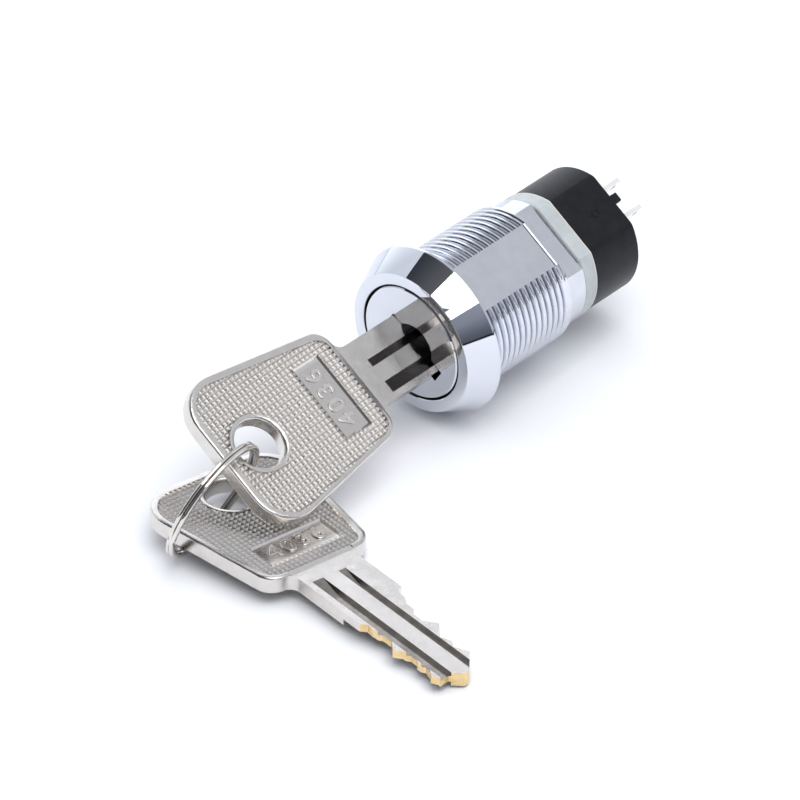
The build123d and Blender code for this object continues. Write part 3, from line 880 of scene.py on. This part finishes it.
def key_level(zone, x, y):
    """Height of that surface above the middle of the key."""
    if zone == "rim":
        drop = rounded_edge(depth_inside(bow_loop, x, y), bow_edge)
        drop = max(drop, rounded_edge(hypot(x - hole_at, y) - hole_radius, hole_edge))
        return max(bow_half - drop, blade_half if x < bow_edge else 0)
    if zone == "field":
        u, v = (abs(place / knurl_pitch - round(place / knurl_pitch)) for place in (x, y))
        return field_level + knurl_height * (1 - 2 * max(u, v))
    if zone == "slope":
        return blade_half + (slope_top - blade_half) * (x - slope_start) / (slope_end - slope_start)
    if zone == "lip":
        beyond_plate = max(abs(x - plate_at) - plate_half_length, abs(y) - plate_half_width)
        return plate_level + (plate_lip_level - plate_level) * beyond_plate / plate_lip
    if zone and zone.startswith("groove"):
        share = min(1, max(0, (-groove_start - x) / groove_runout))
        return blade_half - groove_depth * sin(pi / 2 * share)
    return {"plate": plate_level, "relief": relief_level}.get(zone, blade_half)


key_finishes = [nickel_plate, cut_brass, stamped_nickel, milled_groove]
polished, brass, stamped, shaded_groove = range(4)


def key_finish(zone):
    """Which of the key's finishes a surface has."""
    if zone.startswith("groove"):
        return shaded_groove
    return stamped if zone in ("field", "plate", "lip", "slope") else polished


def key_hollow(zone, x, y):
    """How deep in the pattern a place is; there the plating is darker, partly tarnish and partly
    painted shade.
    """
    if zone == "field":
        return (field_level + knurl_height - key_level(zone, x, y)) / knurl_height
    return sunken_plate_shade_and_tarnish if zone == "plate" else 0


def ring_of(points):
    """A closed crease through these points."""
    return [*points, points[0]]


def rectangle(x_low, x_high, y_low, y_high):
    """A closed crease round a rectangle."""
    return ring_of([(x_low, y_low), (x_high, y_low), (x_high, y_high), (x_low, y_high)])


def key_creases():
    """Every line along which the key's surfaces bend or end."""
    creases = [ring_of(rounded_loop(bow_corners, bow_edge * share)) for share in edge_shares]
    creases.append(ring_of(field_loop))
    reach = [hole_radius + hole_edge * share for share in (0, *edge_shares)]
    for radius in (*reach, hole_radius + hole_rim):
        turns = [radians(360 / hole_steps * step) for step in range(hole_steps)]
        creases.append(ring_of([(hole_at + radius * cos(turn), radius * sin(turn)) for turn in turns]))
    creases.append([(0, -blade_half_width - throat), (0, blade_half_width + throat)])
    creases.append(rectangle(slope_start, slope_end, -slope_half, slope_half))
    corners = []
    for spread_out in (0, plate_lip):
        x_half, y_half = plate_half_length + spread_out, plate_half_width + spread_out
        loop = rectangle(plate_at - x_half, plate_at + x_half, -y_half, y_half)
        creases.append(loop)
        corners.append(loop[:4])
    creases.extend(zip(*corners))
    for centre, half in grooves:
        creases.append(rectangle(-blade_length, -groove_start, centre - half, centre + half))
        for step in range(1, runout_steps + 1):
            x = -groove_start - groove_runout * step / runout_steps
            creases.append([(x, centre - half), (x, centre + half)])
    past_blade = blade_half_width + 0.3
    creases.append(rectangle(-blade_length, -relief_start, relief_edge, past_blade))
    half = knurl_pitch / 2
    for row in range(1, int(bow_length / knurl_pitch) + 1):
        for column in range(-knurl_columns, knurl_columns + 1):
            x, y = row * knurl_pitch, column * knurl_pitch
            cell = rectangle(x - half, x + half, y - half, y + half)
            zones = {key_zone(*corner, False) for corner in cell} | {key_zone(x, y, False)}
            if "field" in zones:
                creases.append(cell)
                creases.extend([(x, y), corner] for corner in cell[:4])
    return creases


def carve(bm, outline, creases, zone_of, level_of, finish_of, hollow_of, brass_from):
    """A flat piece with a carved face on both sides; walls stand where surfaces part.

    The edge walls show brass where they lie beyond brass_from.
    """
    points, lines = [Vector(point) for point in outline], []
    for crease in creases:
        first = len(points)
        points.extend(Vector(point) for point in crease)
        lines.extend((first + step, first + step + 1) for step in range(len(crease) - 1))
    inside_only, same_place = 1, 1e-5
    plan = geometry.delaunay_2d_cdt(points, lines, [range(len(outline))], inside_only, same_place)
    corners = plan[0]
    triangles = [triangle for triangle, inside in zip(plan[2], plan[5]) if inside]
    verts, sides = {}, {}
    hollow = bm.verts.layers.float.new("hollow")

    def vert(corner, height):
        where = (corner, round(height, 4))
        if where not in verts:
            verts[where] = bm.verts.new((corners[corner].x, corners[corner].y, height))
        return verts[where]

    def face(loop, material=0):
        loop = [v for index, v in enumerate(loop) if v is not loop[index - 1]]
        if len(set(loop)) > 2 and not bm.faces.get(loop):
            bm.faces.new(loop).material_index = material

    for triangle in triangles:
        middle = sum((corners[corner] for corner in triangle), Vector((0, 0))) / 3
        zones = [zone_of(middle.x, middle.y, under) for under in (False, True)]
        if zones[0] is None:
            continue
        tops, floors = (
            {corner: sign * level_of(zone, *corners[corner]) for corner in triangle}
            for zone, sign in zip(zones, (1, -1))
        )
        for zone, heights in zip(zones, (tops, floors)):
            for corner in triangle:
                vert(corner, heights[corner])[hollow] = hollow_of(zone, *corners[corner])
        face([vert(corner, tops[corner]) for corner in triangle], finish_of(zones[0]))
        face([vert(corner, floors[corner]) for corner in reversed(triangle)], finish_of(zones[1]))
        for index, corner in enumerate(triangle):
            pair = (triangle[index - 1], corner)
            sides.setdefault(frozenset(pair), []).append((pair, tops, floors))
    for meeting in sides.values():
        (start, end), tops, floors = meeting[0]
        if len(meeting) == 1:
            beyond = max(corners[start].x, corners[end].x) <= brass_from
            quad = [(start, tops), (start, floors), (end, floors), (end, tops)]
            wall = [vert(corner, heights[corner]) for corner, heights in quad]
            face(wall, brass if beyond else polished)
            continue
        for one, other in zip(meeting[0][1:], meeting[1][1:]):
            quad = [(start, one), (start, other), (end, other), (end, one)]
            face([vert(corner, heights[corner]) for corner, heights in quad])


def raised_number(bm):
    """The key's number, raised from the upper plate, read along the width of the bow."""
    curve = bpy.data.curves.new("key_number", "FONT")
    curve.body, curve.size, curve.space_character = key_number, digit_size, digit_gap
    curve.align_x = curve.align_y = "CENTER"
    curve.extrude = digit_relief / 2
    curve.bevel_depth = digit_relief
    text = bpy.data.objects.new("key_number", curve)
    digits = bpy.data.meshes.new_from_object(text)
    on_plate = Matrix(((0, 1, 0, plate_at), (-1, 0, 0, 0), (0, 0, 1, plate_level), (0, 0, 0, 1)))
    digits.transform(on_plate)
    for face in digits.polygons:
        face.material_index = stamped
    bm.from_mesh(digits)
    bpy.data.objects.remove(text)
    bpy.data.curves.remove(curve)


def make_key(name, along, across_key, out, shoulder):
    """One key; along runs from its shoulder to the bow, out away from its upper face."""
    bm = bmesh.new()
    first_cut = -lower_cuts[0][0]
    carve(bm, key_outline, key_creases(), key_zone, key_level, key_finish, key_hollow, first_cut)
    raised_number(bm)
    place = Matrix((along, across_key, out)).transposed().to_4x4()
    place.translation = shoulder
    bmesh.ops.transform(bm, matrix=Matrix.Scale(MM, 4) @ place, verts=bm.verts)
    key = finish_piece(bm, name, *key_finishes)
    level_faces = key.modifiers.new("level_faces", "WEIGHTED_NORMAL")
    level_faces.keep_sharp = True
    level_faces.weight = 100
    return key


# The first key stands in the lock with its face along the flats.
lock_shoulder, lock_offset = -14.3, 0.5
bow_side, bow_face = across(1, 0, 0) / MM, across(0, 1, 0) / MM
shoulder = bow_side * lock_offset + Vector((0, lock_shoulder, 0))
key = make_key("key_in_lock", Vector((0, -1, 0)), bow_side, bow_face, shoulder)
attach(key, "key")
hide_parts("operating_key")

# The spare key lies on the card, propped up a little by the ring in its hole.
spare_hole = (-2.48, -34.35, -8.45)
spare_yaw, spare_pitch, spare_roll = radians(172.2), radians(2.3), radians(4.3)
turned = Matrix.Rotation(spare_yaw, 3, "Z") @ Matrix.Rotation(-spare_pitch, 3, "Y")
spare_along = turned @ Vector((1, 0, 0))
level_across = Vector((0, 0, 1)).cross(spare_along).normalized()
spare_across = Matrix.Rotation(spare_roll, 3, spare_along) @ level_across
key = make_key(
    "key_on_ring",
    spare_along,
    spare_across,
    spare_along.cross(spare_across),
    Vector(spare_hole) - spare_along * hole_at,
)
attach(key, "spare")
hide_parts("spare_key")

# ---- Split ring ----
# Hardened steel wire of oblong section, wound into two close turns and nickel-plated.
# Each turn ends beside the crank where the wire steps over to the other turn.
ring_steel = plated_metal(
    "ring_steel", (0.80, 0.77, 0.73), (0.66, 0.63, 0.60), (0.05, 0.11), 0.25 * MM, 0.0015 * MM, 0.05
)
ring_centre, ring_radius = Vector((0.72, -40.46, -3.47)), 8.12
ring_axis = Vector((0.9062, 0.1452, -0.3971)).normalized()
ring_up = Vector((0.4014, 0, 0.9159))
ring_back = ring_up.cross(ring_axis).normalized()
wire_half, wire_half_width, turn_offset = 0.45, 0.265, 0.275
wire_end, crank_half = radians(184), radians(13)
ring_steps, section_steps, section_square = 288, 16, 0.7

bm = bmesh.new()
loops = []
for step in range(ring_steps + 1):
    turn = wire_end + 4 * pi * step / ring_steps
    side = 2 * smooth_step(turn - wire_end, 2 * pi - crank_half, 2 * pi + crank_half) - 1
    outward = ring_back * cos(turn) + ring_up * sin(turn)
    centre = ring_centre + outward * ring_radius + ring_axis * turn_offset * side
    loop = []
    for corner in range(section_steps):
        c, s = cos(2 * pi * corner / section_steps), sin(2 * pi * corner / section_steps)
        reach = copysign(abs(c) ** section_square, c)
        width = copysign(abs(s) ** section_square, s)
        loop.append((centre + outward * wire_half * reach + ring_axis * wire_half_width * width) * MM)
    loops.append(loop)
loft(bm, loops, capped=True)
ring = finish_piece(bm, "split_ring", ring_steel)
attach(ring, "ring")
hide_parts("key_ring")
